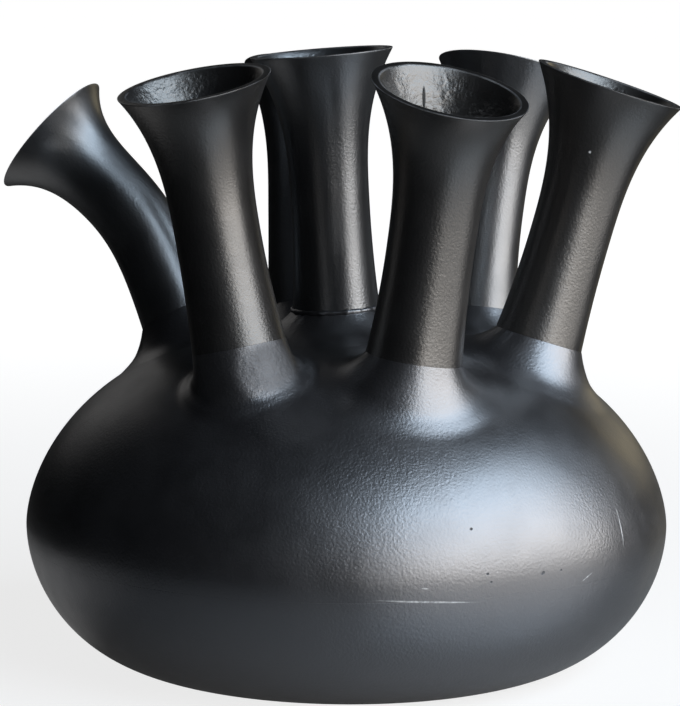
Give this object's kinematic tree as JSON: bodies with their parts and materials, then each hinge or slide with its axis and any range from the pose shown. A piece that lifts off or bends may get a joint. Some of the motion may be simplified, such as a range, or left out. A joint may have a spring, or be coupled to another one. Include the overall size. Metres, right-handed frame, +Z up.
{
  "type": "tulip vase",
  "caption": "Squat round black cast vase with an upright trumpet spout amid a ring of outward-leaning trumpet spouts, one bent low.",
  "frame": {"origin": "middle of the flat foot that the vase stands on", "axes": "+Z up out of the foot; -Y towards the front, the side with two spouts side by side; +X to the right seen from the front, and the low bent spout points to -X"},
  "size_m": [0.3186, 0.3043, 0.2867],
  "materials": {
    "body_lacquer": "satin black lacquer over sand-cast aluminium with a fine casting grain",
    "spout_lacquer": "satin black lacquer over smoother cast aluminium with ground lips"
  },
  "bodies": {
    "root": {"lower_bowl": "body_lacquer", "upper_dome": "body_lacquer", "spout_centre": "spout_lacquer", "spout_front_right": "spout_lacquer", "spout_right": "spout_lacquer", "spout_back_right": "spout_lacquer", "spout_back": "spout_lacquer", "spout_left": "spout_lacquer", "spout_front_left": "spout_lacquer"}
  },
  "joints": []
}
